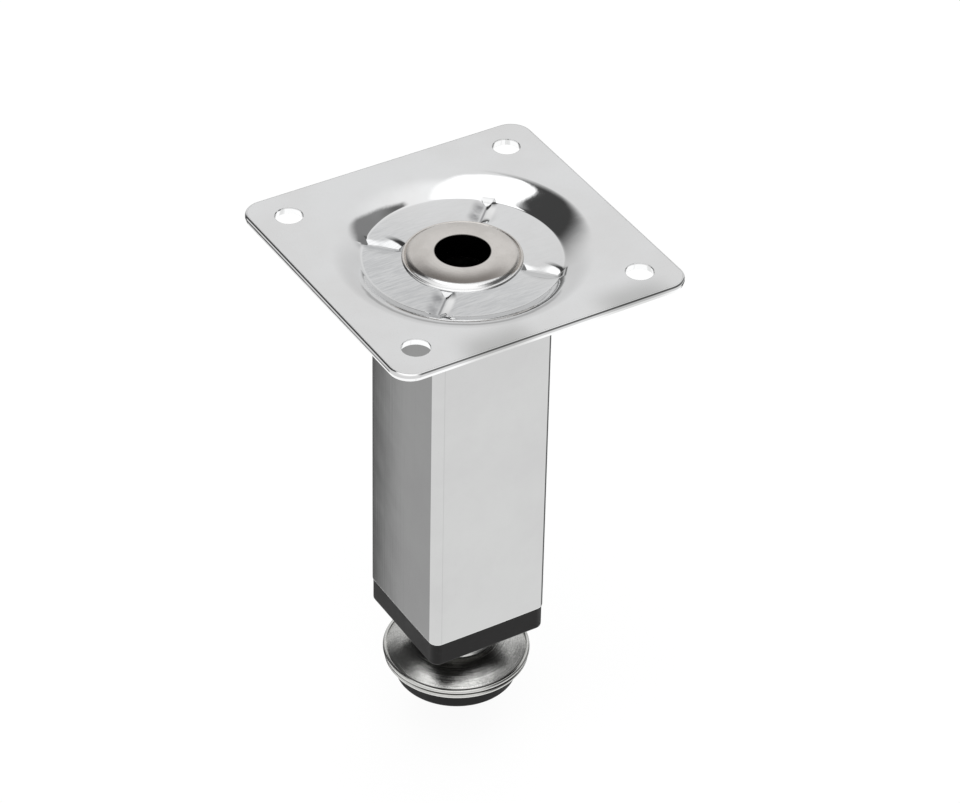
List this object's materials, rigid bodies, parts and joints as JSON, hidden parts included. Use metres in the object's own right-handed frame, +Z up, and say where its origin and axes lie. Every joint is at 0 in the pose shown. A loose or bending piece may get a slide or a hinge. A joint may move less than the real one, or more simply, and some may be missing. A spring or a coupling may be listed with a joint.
{
  "type": "furniture leg",
  "caption": "Square chromed tube leg with a riveted screw-on mounting plate and a round levelling foot on a threaded stud.",
  "frame": {"origin": "middle of the leg on the floor, at the underside of the foot's pad", "axes": "+Z up along the leg's axis; X and Y parallel to the sides of the square plate and tube"},
  "size_m": [0.06, 0.06, 0.101],
  "materials": {
    "chrome_plate": "mirror",
    "satin_rivet": "satin",
    "zinc_inner": "satin",
    "chrome_tube": "mirror",
    "black_insert": "satin",
    "zinc_nut": "satin",
    "zinc_stud": "satin",
    "zinc_foot": "brushed",
    "black_pad": "matte"
  },
  "bodies": {
    "leg": {"mounting_plate": "chrome_plate", "hollow_rivet": "satin_rivet", "head_cup": "zinc_inner", "leg_tube": "chrome_tube", "end_insert": "black_insert", "captive_nut": "zinc_nut"},
    "pad": {"foot_pad": "black_pad"},
    "foot": {"foot_stud": "zinc_stud", "foot_disc": "zinc_foot"}
  },
  "joints": [
    {"name": "foot_travel", "type": "slide", "parent": "leg", "child": "pad", "axis": [0, 0, -1], "range_m": [-0.0025, 0.01125]},
    {"name": "foot_turn", "type": "hinge", "parent": "pad", "child": "foot", "pos_m": [0, 0, 0.007], "axis": [0, 0, -1], "range_deg": [-720, 3240]}
  ],
  "couplings": [
    {"joint": "foot_travel", "follows": "foot_turn", "m_per_rad": 0.00019894}
  ]
}
